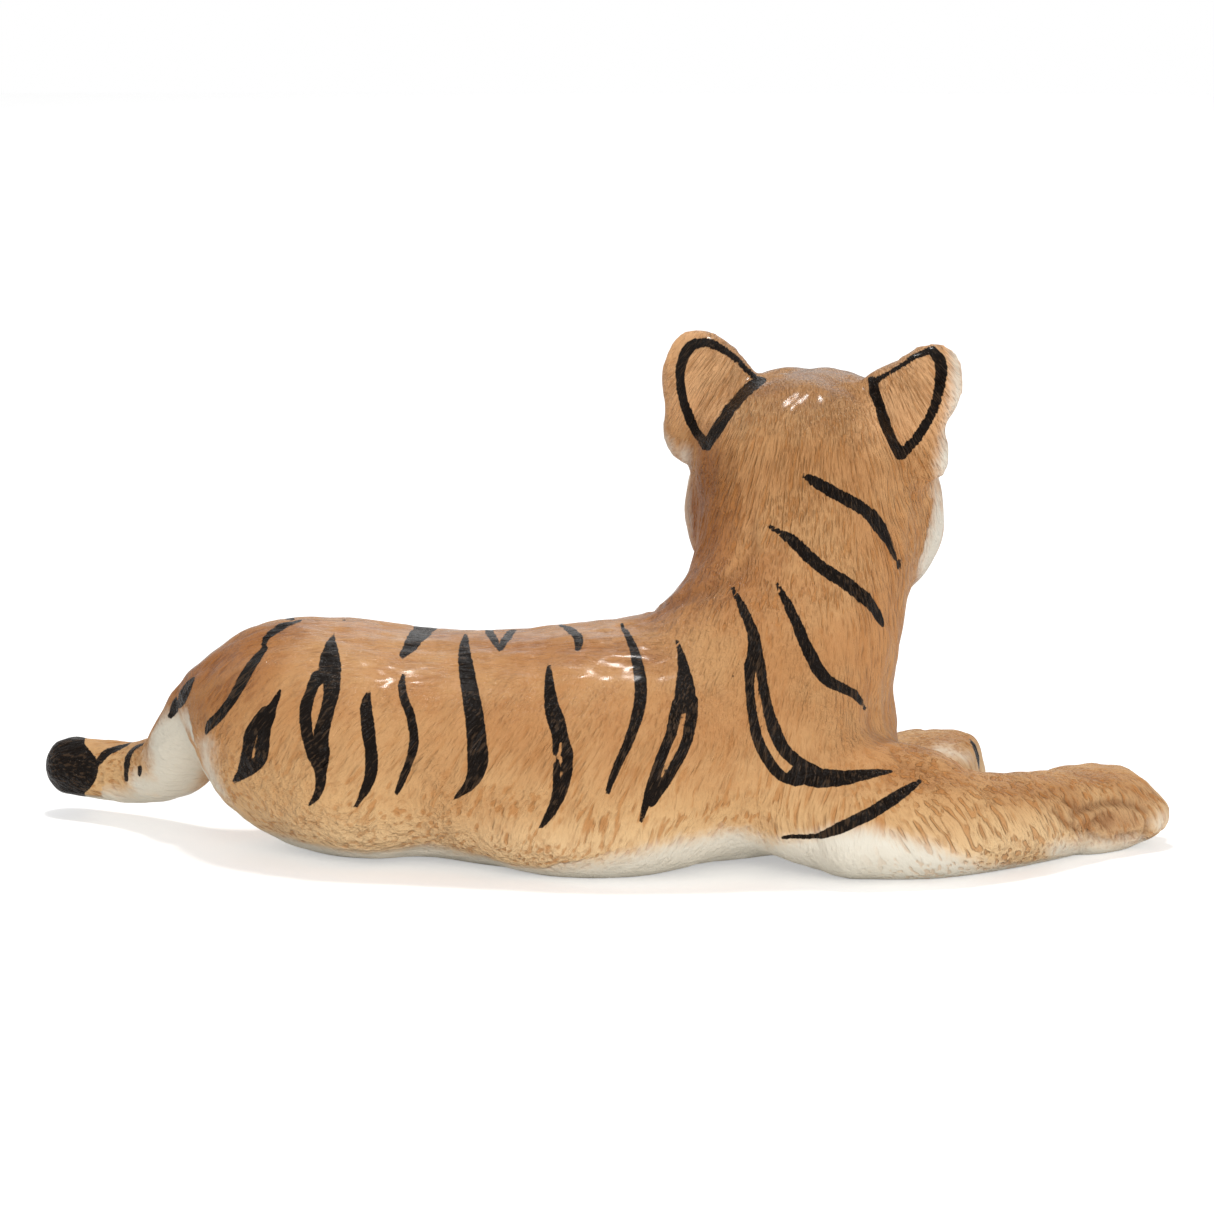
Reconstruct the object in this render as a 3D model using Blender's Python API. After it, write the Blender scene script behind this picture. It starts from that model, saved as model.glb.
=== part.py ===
"""A lying tiger cub figurine, moulded in one solid piece and painted.

The cub lies along X with its rump at -X and its front paws at +X. It rests on its
right hip and belly, with its right flank towards -Y, its hind feet out on the +Y side,
and its head turned to look along +Y. Z is up and the ground is z = 0.
All sizes and places below are in millimetres, and build() turns them into metres.
"""

import math

import bmesh
import bpy
import numpy as np
from mathutils import Matrix, Vector

MM = 0.001
LIMB_UP = (0.0, 0.2, 1.0)

# How finely the masses are drawn, fused and thinned. The body is fused and softened
# first, and the limbs, ears and face are fused onto it with less softening.
RING_SEGMENTS = 28
STEPS_PER_STATION = 5
CAP_RINGS = 3
BODY_VOXEL = 0.7
BODY_SOFTENING = 22
DETAIL_VOXEL = 0.5
DETAIL_SOFTENING = 6
WANTED_TRIANGLES = 10000

# Trunk and neck: x, y, z, half width, half height at each station along the spine
TRUNK = (
    (-27.6, 6.6, 9.6, 3.8, 3.8),
    (-25.8, 5.3, 9.5, 6.7, 6.7),
    (-22.3, 3.8, 8.9, 9.0, 8.1),
    (-18.0, 2.8, 8.1, 10.4, 8.6),
    (-12.5, 1.5, 8.1, 10.5, 8.1),
    (-7.0, 0.2, 7.9, 10.5, 8.5),
    (-1.0, -1.2, 8.2, 10.5, 9.0),
    (5.0, -1.4, 8.9, 10.1, 9.0),
    (10.0, -0.8, 9.3, 9.3, 9.1),
    (13.8, -0.4, 9.2, 7.8, 8.4),
    (15.6, 0.2, 9.9, 5.4, 5.9),
)
NECK = (
    (8.2, -1.6, 10.0, 9.0, 8.4),
    (12.0, -1.2, 15.0, 8.6, 8.2),
    (13.7, 0.4, 19.5, 7.9, 7.4),
    (14.6, 2.6, 24.0, 8.0, 7.6),
)

# Fleshy masses on the trunk: centre, radii
BELLY_FOLD = ((-0.8, -5.0, 3.8), (11.0, 6.1, 4.3))
RIGHT_HAUNCH = ((-16.6, -1.4, 7.8), (9.0, 6.8, 7.7))
RUMP = ((-22.4, 5.4, 11.2), (6.0, 6.1, 5.3))
RIGHT_SHOULDER = ((11.6, -5.2, 10.6), (6.6, 5.2, 8.0))
LEFT_SHOULDER = ((11.6, 5.2, 10.2), (6.2, 4.2, 7.2))
BODY_MASSES = (BELLY_FOLD, RIGHT_HAUNCH, RUMP, RIGHT_SHOULDER, LEFT_SHOULDER)

# Legs: x, y, z, half width, half height at each station from the trunk outwards
RIGHT_UPPER_ARM = (
    (11.0, -4.8, 11.0, 5.2, 5.4),
    (13.6, -5.4, 6.4, 5.2, 5.3),
    (17.4, -6.4, 5.0, 5.0, 5.0),
    (22.0, -5.4, 4.5, 4.6, 4.8),
)
RIGHT_FOREARM = (
    (17.5, -7.0, 4.4, 4.9, 4.5),
    (23.0, -6.2, 3.8, 4.5, 4.1),
    (28.0, -3.4, 3.3, 3.9, 3.5),
    (32.5, 0.8, 3.0, 3.5, 3.2),
)
LEFT_UPPER_ARM = (
    (11.0, 5.4, 9.6, 4.6, 4.8),
    (13.0, 7.4, 5.6, 4.4, 4.6),
    (16.0, 10.0, 4.0, 4.1, 4.1),
)
LEFT_FOREARM = (
    (14.6, 8.4, 3.7, 3.9, 3.6),
    (18.8, 11.0, 2.8, 3.6, 2.9),
    (22.6, 14.4, 2.7, 3.4, 2.7),
)
LEFT_THIGH = (
    (-20.0, 5.6, 9.4, 7.4, 6.8),
    (-14.0, 9.4, 8.2, 7.2, 6.6),
    (-8.6, 13.0, 6.2, 5.6, 5.2),
)
LEFT_SHANK = (
    (-8.8, 12.8, 6.0, 5.0, 5.0),
    (-7.8, 16.2, 4.8, 4.2, 4.3),
    (-11.5, 19.2, 3.5, 3.4, 3.4),
    (-15.6, 20.6, 2.9, 2.8, 2.9),
)
LEFT_HIND_FOOT = (
    (-16.2, 21.2, 2.8, 2.7, 2.8),
    (-12.0, 22.7, 2.5, 2.8, 2.6),
    (-8.0, 23.6, 2.4, 3.0, 2.6),
)
RIGHT_HIND_LEG = (
    (-12.0, 6.0, 3.8, 4.8, 4.2),
    (-6.0, 9.6, 3.1, 3.6, 3.4),
    (-1.6, 12.2, 2.6, 2.9, 2.7),
    (1.6, 14.0, 2.4, 2.8, 2.5),
)
TAIL = (
    (-25.4, 6.4, 10.0, 4.0, 3.9),
    (-28.3, 7.2, 9.0, 3.6, 3.5),
    (-30.2, 8.2, 6.8, 3.1, 3.0),
    (-31.8, 9.8, 4.8, 2.6, 2.6),
    (-34.6, 12.6, 3.7, 2.25, 2.3),
    (-39.4, 15.8, 3.5, 2.1, 2.2),
)

# Paws. The foot's ball is boxier the further PAW_SQUARENESS is below 1, and PAW_SINK is
# the share of its height that lies under the ground, where the sole is cut flat.
RIGHT_FORE_PAW_LENGTH = 11.4
LEFT_FORE_PAW_LENGTH = 10.0
FORE_PAW_WIDTH = 8.1
FORE_PAW_HEIGHT = 5.9
HIND_PAW_LENGTH = 8.8
HIND_PAW_WIDTH = 6.5
HIND_PAW_HEIGHT = 4.9
PAW_SQUARENESS = 0.78
PAW_SINK = 0.08
TOE_COUNT = 4
TOE_RADII = (2.7, 1.25, 1.9)
TOE_ARC = 0.2
TOE_LIFT = 0.4
# Each paw: centre on the ground, heading from +X towards +Y, length, width, height
PAWS = (
    ((35.5, 4.2), 41.0, RIGHT_FORE_PAW_LENGTH, FORE_PAW_WIDTH, FORE_PAW_HEIGHT),
    ((24.2, 17.0), 66.0, LEFT_FORE_PAW_LENGTH, FORE_PAW_WIDTH, FORE_PAW_HEIGHT),
    ((-4.8, 24.4), 12.0, HIND_PAW_LENGTH, HIND_PAW_WIDTH, HIND_PAW_HEIGHT),
    ((4.2, 15.8), 28.0, HIND_PAW_LENGTH, HIND_PAW_WIDTH, HIND_PAW_HEIGHT),
)

# Head: centre, how far it turns from +Y towards +X, nods, and tilts to its right
HEAD_CENTRE = (14.7, 5.0, 27.0)
HEAD_TURN = 14.0
HEAD_NOD = 4.0
HEAD_TILT = 2.5
# Its masses: right, forward, up from the centre, then the three radii.
# A mass whose first number isn't zero has a twin on the left.
SKULL = ((0.0, -0.8, 1.1), (8.6, 8.6, 6.8))
CHEEK = ((5.5, 1.8, -2.8), (4.2, 5.6, 5.8))
JOWL = ((3.6, 5.2, -4.4), (3.2, 4.0, 3.4))
MUZZLE = ((0.0, 7.0, -3.2), (5.2, 4.6, 3.8))
MUZZLE_PUFF = ((2.1, 8.9, -3.9), (2.9, 3.0, 2.5))
NOSE_BRIDGE = ((0.0, 6.4, -0.4), (2.6, 5.0, 2.9))
NOSE_TIP = ((0.0, 11.2, -2.0), (1.7, 0.9, 1.1))
CHIN = ((0.0, 8.4, -6.2), (2.6, 2.6, 1.8))
BROW = ((3.5, 5.4, 2.5), (2.7, 1.8, 1.3))
EYE = ((3.7, 6.1, 0.5), (1.9, 1.6, 1.7))
BODY_HEAD_MASSES = (SKULL, CHEEK, JOWL, MUZZLE)
FACE_MASSES = (MUZZLE_PUFF, NOSE_BRIDGE, NOSE_TIP, CHIN, BROW, EYE)

# Ears, as the right ear's value and then the left's where they differ: place from the
# head's centre, outward lean, half width on the side away from the skull, how much wider
# that side gets towards the base, and how far the top's outer corner is pushed out
EAR_OUT = (6.7, 7.3)
EAR_FORWARD = -1.6
EAR_UP = (5.4, 5.1)
EAR_LEAN = (20.0, 18.0)
EAR_OUTER_HALF_WIDTH = (3.3, 3.7)
EAR_OUTER_FLARE = (1.3, 0.8)
EAR_CORNER = (0.22, 0.06)
# The same for both: half width next to the skull, half height, outward turn, and the
# depths of the back's bulge, of the rim and of the hollow in front
EAR_INNER_HALF_WIDTH = 3.9
EAR_HALF_HEIGHT = 5.1
EAR_TURN = 12.0
EAR_BULGE = 2.0
EAR_RIM = 1.0
EAR_HOLLOW = 1.9

COAT_COLOUR = (0.56, 0.29, 0.12, 1.0)
COAT_ROUGHNESS = 0.55


def spline(rows, steps):
    """Catmull-Rom values between hand-set rows, every column alike."""
    rows = np.array(rows, float)
    padded = np.vstack([2 * rows[0] - rows[1], rows, 2 * rows[-1] - rows[-2]])
    out = []
    for i in range(len(rows) - 1):
        before, start, end, after = padded[i : i + 4]
        for t in np.arange(steps) / steps:
            out.append(
                0.5
                * (
                    2 * start
                    + (end - before) * t
                    + (2 * before - 5 * start + 4 * end - after) * t**2
                    + (3 * start - before - 3 * end + after) * t**3
                )
            )
    return np.array(out + [rows[-1]])


def add_loft(bm, stations, up_hint):
    """A closed limb: elliptical rings across the path through the stations, with rounded ends."""
    samples = spline(stations, STEPS_PER_STATION)
    centres = samples[:, :3]
    tangents = np.gradient(centres, axis=0)
    rings = []

    def ring(centre, tangent, half_width, half_height):
        side = tangent.cross(Vector(up_hint)).normalized()
        up = side.cross(tangent)
        verts = []
        for k in range(RING_SEGMENTS):
            angle = 2 * math.pi * k / RING_SEGMENTS
            across = side * (half_width * math.cos(angle))
            verts.append(bm.verts.new(centre + across + up * (half_height * math.sin(angle))))
        rings.append(verts)

    def cap(end, sign):
        """Rings that shrink on a quarter circle beyond one end of the limb."""
        half_width, half_height = samples[end, 3:]
        tangent = Vector(tangents[end]).normalized()
        reach = min(half_width, half_height)
        angles = [0.5 * math.pi * k / (CAP_RINGS + 1) for k in range(1, CAP_RINGS + 1)]
        for angle in angles if sign > 0 else reversed(angles):
            centre = Vector(centres[end]) + tangent * (sign * reach * math.sin(angle))
            ring(centre, tangent, half_width * math.cos(angle), half_height * math.cos(angle))
        return bm.verts.new(Vector(centres[end]) + tangent * (sign * reach))

    first = cap(0, -1)
    for row, tangent in zip(samples, tangents):
        ring(Vector(row[:3]), Vector(tangent).normalized(), row[3], row[4])
    last = cap(len(samples) - 1, 1)
    for near, far in zip(rings, rings[1:]):
        for k in range(RING_SEGMENTS):
            n = (k + 1) % RING_SEGMENTS
            bm.faces.new((near[k], near[n], far[n], far[k]))
    for k in range(RING_SEGMENTS):
        n = (k + 1) % RING_SEGMENTS
        bm.faces.new((first, rings[0][n], rings[0][k]))
        bm.faces.new((last, rings[-1][k], rings[-1][n]))


def add_mass(bm, centre, radii, frame=None):
    """An ellipsoid, in the axes of the frame that holds it."""
    place = (frame or Matrix()) @ Matrix.Translation(centre) @ Matrix.Diagonal((*radii, 1))
    bmesh.ops.create_uvsphere(bm, u_segments=24, v_segments=16, radius=1, matrix=place)


def add_paw(bm, ground_centre, heading, length, width, height):
    """A rounded foot with its toes side by side along a shallow arc at the front."""
    frame = Matrix.Translation((*ground_centre, 0)) @ Matrix.Rotation(math.radians(heading), 4, "Z")
    half_height = height * (1 + PAW_SINK) / 2
    radii = (0.42 * length, width / 2, half_height)
    ball = bmesh.ops.create_uvsphere(bm, u_segments=24, v_segments=16, radius=1)
    for vert in ball["verts"]:
        boxy = [math.copysign(abs(c) ** PAW_SQUARENESS, c) * radius for c, radius in zip(vert.co, radii)]
        vert.co = frame @ (Vector((-0.08 * length, 0, height - half_height)) + Vector(boxy))
    toe_length, toe_width, toe_height = TOE_RADII
    spread = (width / 2 - toe_width) / ((TOE_COUNT - 1) / 2)
    for k in range(TOE_COUNT):
        across = (k - (TOE_COUNT - 1) / 2) * spread
        ahead = length / 2 - toe_length - TOE_ARC * across**2
        toe_centre = (ahead, across, toe_height + TOE_LIFT)
        add_mass(bm, toe_centre, (toe_length, toe_width * 1.25, toe_height), frame)


def head_frame():
    turn = Matrix.Rotation(math.radians(-HEAD_TURN), 4, "Z")
    nod = Matrix.Rotation(math.radians(-HEAD_NOD), 4, "X")
    tilt = Matrix.Rotation(math.radians(HEAD_TILT), 4, "Y")
    return Matrix.Translation(HEAD_CENTRE) @ turn @ nod @ tilt


def add_head_masses(bm, masses):
    frame = head_frame()
    for (right, forward, up), radii in masses:
        for side in (1, -1) if right else (1,):
            add_mass(bm, (side * right, forward, up), radii, frame)


def add_ear(bm, ear):
    """A cup: a bulging back, and a front that is hollow inside a rounded rim.

    The right ear is 0 and the left ear is 1.
    """
    side = (1, -1)[ear]
    turn = Matrix.Rotation(math.radians(side * EAR_TURN), 4, "Z")
    lean = Matrix.Rotation(math.radians(side * EAR_LEAN[ear]), 4, "Y")
    place = Matrix.Translation((side * EAR_OUT[ear], EAR_FORWARD, EAR_UP[ear]))
    frame = head_frame() @ place @ turn @ lean
    made = bmesh.ops.create_uvsphere(bm, u_segments=28, v_segments=20, radius=1)
    for vert in made["verts"]:
        x, y, z = vert.co
        from_middle = min(1.0, math.hypot(x, z))
        if y < 0:
            depth = y * EAR_BULGE
        else:
            depth = y * EAR_RIM - EAR_HOLLOW * (1 - from_middle**2) ** 2 * y
        half_width = EAR_INNER_HALF_WIDTH
        if side * x > 0:
            half_width = EAR_OUTER_HALF_WIDTH[ear] * (1 + EAR_OUTER_FLARE[ear] * max(0, -z))
        pushed = 1 + EAR_CORNER[ear] * 2 * side * x * max(0, z)
        vert.co = frame @ Vector((x * pushed * half_width, depth, z * pushed * EAR_HALF_HEIGHT))


def fused(bm, voxel, passes):
    """The mesh of bm's closed shells, in millimetres, as one skin with its creases softened."""
    bmesh.ops.recalc_face_normals(bm, faces=bm.faces)
    mesh = bpy.data.meshes.new("shells")
    bm.to_mesh(mesh)
    bm.free()

    def add_fuse(obj):
        fuse = obj.modifiers.new("fuse", "REMESH")
        fuse.mode = "VOXEL"
        fuse.voxel_size = voxel
        soften = obj.modifiers.new("soften", "SMOOTH")
        soften.factor = 0.5
        soften.iterations = round(passes)

    return modified(mesh, add_fuse)


def thinned(mesh):
    """The mesh with about the wanted number of triangles."""
    mesh.calc_loop_triangles()
    share = WANTED_TRIANGLES / len(mesh.loop_triangles)

    def add_thin(obj):
        thin = obj.modifiers.new("thin", "DECIMATE")
        thin.ratio = share
        thin.use_collapse_triangulate = True

    return modified(mesh, add_thin)


def modified(mesh, add_modifiers):
    obj = bpy.data.objects.new("working", mesh)
    bpy.context.scene.collection.objects.link(obj)
    add_modifiers(obj)
    evaluated = obj.evaluated_get(bpy.context.evaluated_depsgraph_get())
    result = bpy.data.meshes.new_from_object(evaluated)
    bpy.data.objects.remove(obj)
    return result


def centred(mesh):
    """The mesh in metres, with the middle of its box over the origin."""
    places = np.array([vert.co for vert in mesh.vertices])
    middle = (places.min(axis=0) + places.max(axis=0)) / 2
    mesh.transform(Matrix.Scale(MM, 4) @ Matrix.Translation((-middle[0], -middle[1], 0)))
    return mesh


def add_body(bm):
    """The masses that flow into each other: trunk, neck, head, shoulders and thighs."""
    add_loft(bm, TRUNK, (0, 0, 1))
    add_loft(bm, NECK, (0, 1, 0))
    for centre, radii in BODY_MASSES:
        add_mass(bm, centre, radii)
    for limb in (RIGHT_UPPER_ARM, LEFT_UPPER_ARM, LEFT_THIGH):
        add_loft(bm, limb, LIMB_UP)
    add_head_masses(bm, BODY_HEAD_MASSES)


def add_details(bm):
    """What stands out from the body: forearms, shanks, paws, tail, face and ears."""
    for limb in (RIGHT_FOREARM, LEFT_FOREARM, LEFT_SHANK, LEFT_HIND_FOOT, RIGHT_HIND_LEG, TAIL):
        add_loft(bm, limb, LIMB_UP)
    for paw in PAWS:
        add_paw(bm, *paw)
    add_head_masses(bm, FACE_MASSES)
    for ear in (0, 1):
        add_ear(bm, ear)


def coat_material():
    material = bpy.data.materials.new("painted_coat")
    material.use_nodes = True
    shader = material.node_tree.nodes["Principled BSDF"]
    shader.inputs["Base Color"].default_value = COAT_COLOUR
    shader.inputs["Roughness"].default_value = COAT_ROUGHNESS
    shader.inputs["Metallic"].default_value = 0.0
    return material


def build():
    for obj in list(bpy.data.objects):
        bpy.data.objects.remove(obj)
    body = bmesh.new()
    add_body(body)
    whole = bmesh.new()
    whole.from_mesh(fused(body, BODY_VOXEL, BODY_SOFTENING))
    add_details(whole)
    mesh = centred(thinned(fused(whole, DETAIL_VOXEL, DETAIL_SOFTENING)))
    mesh.materials.append(coat_material())
    tiger = bpy.data.objects.new("tiger_figurine", mesh)
    bpy.context.scene.collection.objects.link(tiger)

    bpy.ops.mesh.primitive_cube_add(size=0.3, location=(0, 0, -0.15))
    ground = bpy.context.object
    ground.name = "ground_cutter"
    ground.hide_render = True
    ground.display_type = "WIRE"
    rest = tiger.modifiers.new("rest", "BOOLEAN")
    rest.operation = "DIFFERENCE"
    rest.object = ground


build()
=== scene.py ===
# A lying tiger cub, moulded in one piece of plastic and painted by hand.
import math

import bpy
import numpy as np
from mathutils import Matrix, Vector
from mathutils.bvhtree import BVHTree


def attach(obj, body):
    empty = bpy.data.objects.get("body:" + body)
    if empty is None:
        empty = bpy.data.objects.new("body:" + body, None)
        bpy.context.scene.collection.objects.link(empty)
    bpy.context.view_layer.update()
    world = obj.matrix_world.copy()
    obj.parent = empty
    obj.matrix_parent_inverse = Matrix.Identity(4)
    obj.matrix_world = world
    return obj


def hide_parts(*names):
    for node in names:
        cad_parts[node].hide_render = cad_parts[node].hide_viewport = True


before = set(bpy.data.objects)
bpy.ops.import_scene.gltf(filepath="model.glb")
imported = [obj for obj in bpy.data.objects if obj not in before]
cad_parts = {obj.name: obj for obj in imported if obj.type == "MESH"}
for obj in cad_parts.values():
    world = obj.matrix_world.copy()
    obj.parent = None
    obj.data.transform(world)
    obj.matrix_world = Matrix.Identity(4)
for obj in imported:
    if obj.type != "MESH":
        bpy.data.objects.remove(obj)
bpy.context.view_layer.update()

mm = 0.001
print("frame loaded")

# Everything up to the last step is worked out in millimetres, with the ground at z = 0,
# the back and right flank towards -y and the front paws towards +x.

# x, y, z, half width, half height at each station of a limb
trunkShape = {
    "up": (0, 0, 1),
    "trunk": [
        (-27.6, 6.6, 9.6, 3.8, 3.8), (-25.8, 5.3, 9.5, 6.7, 6.7), (-22.3, 3.8, 8.9, 9.0, 8.1),
        (-18.0, 2.8, 8.1, 10.4, 8.6), (-12.5, 1.5, 8.1, 10.5, 8.1), (-7.0, 0.2, 7.9, 10.5, 8.5),
        (-1.0, -1.2, 8.2, 10.5, 9.0), (5.0, -1.4, 8.9, 10.1, 9.0), (10.0, -0.8, 9.3, 9.3, 9.1),
        (13.8, -0.4, 9.2, 7.8, 8.4), (15.6, 0.2, 9.9, 5.4, 5.9)],
    "neckUp": (0, 1, 0),
    "neck": [
        (8.2, -1.6, 10.0, 9.0, 8.4), (12.0, -1.2, 15.0, 8.6, 8.2), (13.7, 0.4, 19.5, 7.9, 7.4),
        (14.6, 2.6, 24.0, 8.0, 7.6)],
    # centre and radii of what stands out from the trunk
    "masses": [
        ((-0.8, -5.0, 3.8), (11.0, 6.1, 4.3)),     # belly fold
        ((-16.6, -1.4, 7.8), (9.0, 6.8, 7.7)),     # right haunch
        ((-22.4, 5.4, 11.2), (6.0, 6.1, 5.3)),     # rump
        ((-27.9, 4.8, 10.5), (3.4, 3.7, 3.4)),     # root of the tail
        ((11.6, -5.2, 10.6), (6.6, 5.2, 8.0)),     # right shoulder
        ((11.6, 5.2, 10.2), (6.2, 4.2, 7.2))],     # left shoulder
}

legShape = {
    "up": (0, 0.2, 1),
    "flowing": [
        [(11.0, -4.8, 11.0, 5.2, 5.4), (13.6, -5.4, 6.4, 5.2, 5.3), (17.4, -6.4, 5.0, 5.0, 5.0),
         (22.0, -5.4, 4.5, 4.6, 4.8)],                                  # right upper arm
        [(11.0, 5.4, 9.6, 4.6, 4.8), (13.0, 7.4, 5.6, 4.4, 4.6), (16.0, 10.0, 4.0, 4.1, 4.1)],
        [(-20.0, 5.6, 9.4, 7.4, 6.8), (-14.0, 9.4, 8.2, 7.2, 6.6), (-8.6, 13.0, 6.2, 5.6, 5.2)]],
    "standingOut": [
        [(17.5, -7.0, 4.4, 4.9, 4.5), (23.0, -6.2, 3.8, 4.5, 4.1), (28.0, -3.4, 3.3, 3.9, 3.5),
         (32.5, 0.8, 3.0, 3.5, 3.2)],                                   # right forearm
        [(14.6, 8.4, 3.7, 3.9, 3.6), (18.8, 11.0, 2.8, 3.6, 2.9), (22.6, 14.4, 2.7, 3.4, 2.7)],
        [(-8.8, 12.8, 6.0, 5.0, 5.0), (-7.8, 16.2, 4.8, 4.2, 4.3), (-11.5, 19.2, 3.5, 3.4, 3.4),
         (-15.6, 20.6, 2.9, 2.8, 2.9)],                                 # left shank
        [(-16.2, 21.2, 2.8, 2.7, 2.8), (-12.0, 22.7, 2.5, 2.8, 2.6), (-8.0, 23.6, 2.4, 3.0, 2.6)],
        [(-12.0, 6.0, 3.8, 4.8, 4.2), (-6.0, 9.6, 3.1, 3.6, 3.4), (-1.6, 12.2, 2.6, 2.9, 2.7),
         (1.6, 14.0, 2.4, 2.8, 2.5)]],                                  # right hind leg
    "tail": [
        (-25.4, 6.4, 10.0, 4.0, 3.9), (-28.3, 7.2, 9.0, 3.6, 3.5), (-30.2, 8.2, 6.8, 3.1, 3.0),
        (-31.8, 9.8, 4.8, 2.6, 2.6), (-34.6, 12.6, 3.7, 2.25, 2.3), (-39.4, 15.8, 3.5, 2.1, 2.2)],
}

pawShape = {
    # middle on the ground, heading from +x towards +y, length, width, height, and roundness, where
    # 1 is a ball and less is boxier
    "paws": [((35.5, 4.2), 41.0, 11.4, 8.1, 5.9, 0.78), ((23.9, 17.2), 80.0, 10.0, 7.5, 5.8, 0.5),
             ((-4.8, 24.4), 12.0, 8.8, 6.5, 4.9, 0.78), ((4.2, 15.8), 28.0, 8.8, 6.5, 4.9, 0.78)],
    "footShare": 0.42, "footBack": 0.08,      # shares of the length: the foot's half length and shift
    "toes": 4, "toeRadii": (2.7, 1.25, 1.9), "toeOverlap": 1.25, "toeArc": 0.2, "toeLift": 0.4,
    "sink": 0.08,       # share of the height that is pressed flat on the ground
}

headShape = {
    "centre": (14.7, 5.0, 27.0), "turn": 14.0, "nod": 4.0, "tilt": 2.5,
    # right, forward, up from the head's centre, and radii; a mass off the middle has a twin
    "flowing": [((0.0, -0.8, 1.1), (8.6, 8.6, 6.8)),     # skull
                ((5.5, 1.8, -2.8), (4.1, 5.6, 5.8)),     # cheek
                ((3.6, 5.2, -4.4), (3.2, 4.0, 3.4)),     # jowl
                ((0.0, 7.0, -3.2), (5.2, 4.6, 3.8))],    # muzzle
    "standingOut": [((2.1, 8.9, -3.9), (2.9, 3.0, 2.5)),     # muzzle puff
                    ((0.0, 6.4, -0.4), (2.6, 5.0, 2.9)),     # bridge of the nose
                    ((0.0, 11.2, -2.0), (1.7, 0.9, 1.1)),    # nose
                    ((0.0, 8.4, -6.2), (2.6, 2.6, 1.8)),     # chin
                    ((3.5, 5.4, 2.5), (2.7, 1.8, 1.3)),      # brow
                    ((3.7, 6.1, 0.5), (1.9, 1.6, 1.7))],     # eye
}

earShape = {
    "right": {1: 6.7, -1: 7.3}, "forward": -1.6, "up": {1: 5.4, -1: 5.1}, "lean": {1: 20.0, -1: 18.0},
    "innerWidth": 3.9, "outerWidth": {1: 3.3, -1: 3.7}, "halfHeight": 5.1, "outerFlare": {1: 1.3, -1: 0.8},
    "turn": 12.0, "bulge": 2.0, "rim": 1.0, "hollow": 1.9,
    "corner": {1: 0.22, -1: 0.06},      # how far the top's outer corner is pushed out, and its inner one in
}

skinShape = {
    "bodyVoxel": 0.5, "bodyPasses": 44,      # as soft as the solid's first fuse
    "voxel": 0.312, "passes": 12,
    "ringPoints": 40, "stepsPerStation": 8, "capRings": 5, "capTip": 0.7,
    "ballRings": 24, "ballPoints": 36,
}


def splineRows(rows, steps):
    # Catmull-Rom curve through the rows, with so many steps for each span and every column alike.
    rows = np.asarray(rows, float)
    padded = np.vstack([2 * rows[0] - rows[1], rows, 2 * rows[-1] - rows[-2]])
    at = np.linspace(0, len(rows) - 1, (len(rows) - 1) * steps + 1)
    span = np.minimum(at.astype(int), len(rows) - 2)
    t = (at - span)[:, None]
    a, b, c, d = (padded[span + k] for k in range(4))
    return 0.5 * (2 * b + (c - a) * t + (2 * a - 5 * b + 4 * c - d) * t**2 + (3 * b - a - 3 * c + d) * t**3)


def unit(vectors):
    # Each row divided by its length.
    return vectors / np.maximum(np.linalg.norm(vectors, axis=-1, keepdims=True), 1e-9)


def smoothRise(value, low, high):
    # 0 below low, 1 above high, and 3t2 - 2t3 between them.
    t = np.clip((value - low) / (high - low), 0, 1)
    return t * t * (3 - 2 * t)


def ringShell(rings):
    # Quads between neighbouring rings and a fan at each end: vertices and faces of a closed shell.
    count, around = rings.shape[:2]
    places = np.vstack([rings.reshape(-1, 3), rings[0].mean(0), rings[-1].mean(0)])
    ring, k = np.meshgrid(np.arange(count - 1), np.arange(around), indexing="ij")
    here, there = ring * around + k, ring * around + (k + 1) % around
    quads = np.stack([here, there, there + around, here + around], -1).reshape(-1, 4)
    k = np.arange(around)
    n = (k + 1) % around
    last = (count - 1) * around
    fans = np.vstack([np.stack([n, k, np.full(around, count * around)], 1),
                      np.stack([last + k, last + n, np.full(around, count * around + 1)], 1)])
    return places, quads.tolist() + fans.tolist()


def limbShell(stations, up):
    # Ellipses across a smooth path, half width to the side and half height up, closed by
    # rings that shrink on a quarter circle beyond each end.
    rows = splineRows(stations, skinShape["stepsPerStation"])
    centres, tangents = rows[:, :3], unit(np.gradient(rows[:, :3], axis=0))
    count = skinShape["capRings"]
    angles = 0.5 * math.pi * np.arange(1, count + 1) / (count + skinShape["capTip"])

    def cap(end, sign):
        reach = min(rows[end, 3:])
        places = centres[end] + tangents[end] * (sign * reach * np.sin(angles))[:, None]
        ways = np.repeat(tangents[end][None], len(angles), 0)
        return places, ways, rows[end, 3:] * np.cos(angles)[:, None]

    first, last = [part[::-1] for part in cap(0, -1)], cap(-1, 1)
    centres = np.vstack([first[0], centres, last[0]])
    tangents = np.vstack([first[1], tangents, last[1]])
    halves = np.vstack([first[2], rows[:, 3:], last[2]])
    side = unit(np.cross(tangents, np.asarray(up, float)))
    upward = np.cross(side, tangents)
    turn = 2 * math.pi * np.arange(skinShape["ringPoints"]) / skinShape["ringPoints"]
    rings = (centres[:, None] + side[:, None] * (halves[:, :1] * np.cos(turn))[..., None]
             + upward[:, None] * (halves[:, 1:] * np.sin(turn))[..., None])
    return ringShell(rings)


def placed(points, place):
    # Points on rows through a 4 x 4 placing.
    m = np.array(place)
    return points @ m[:3, :3].T + m[:3, 3]


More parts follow.
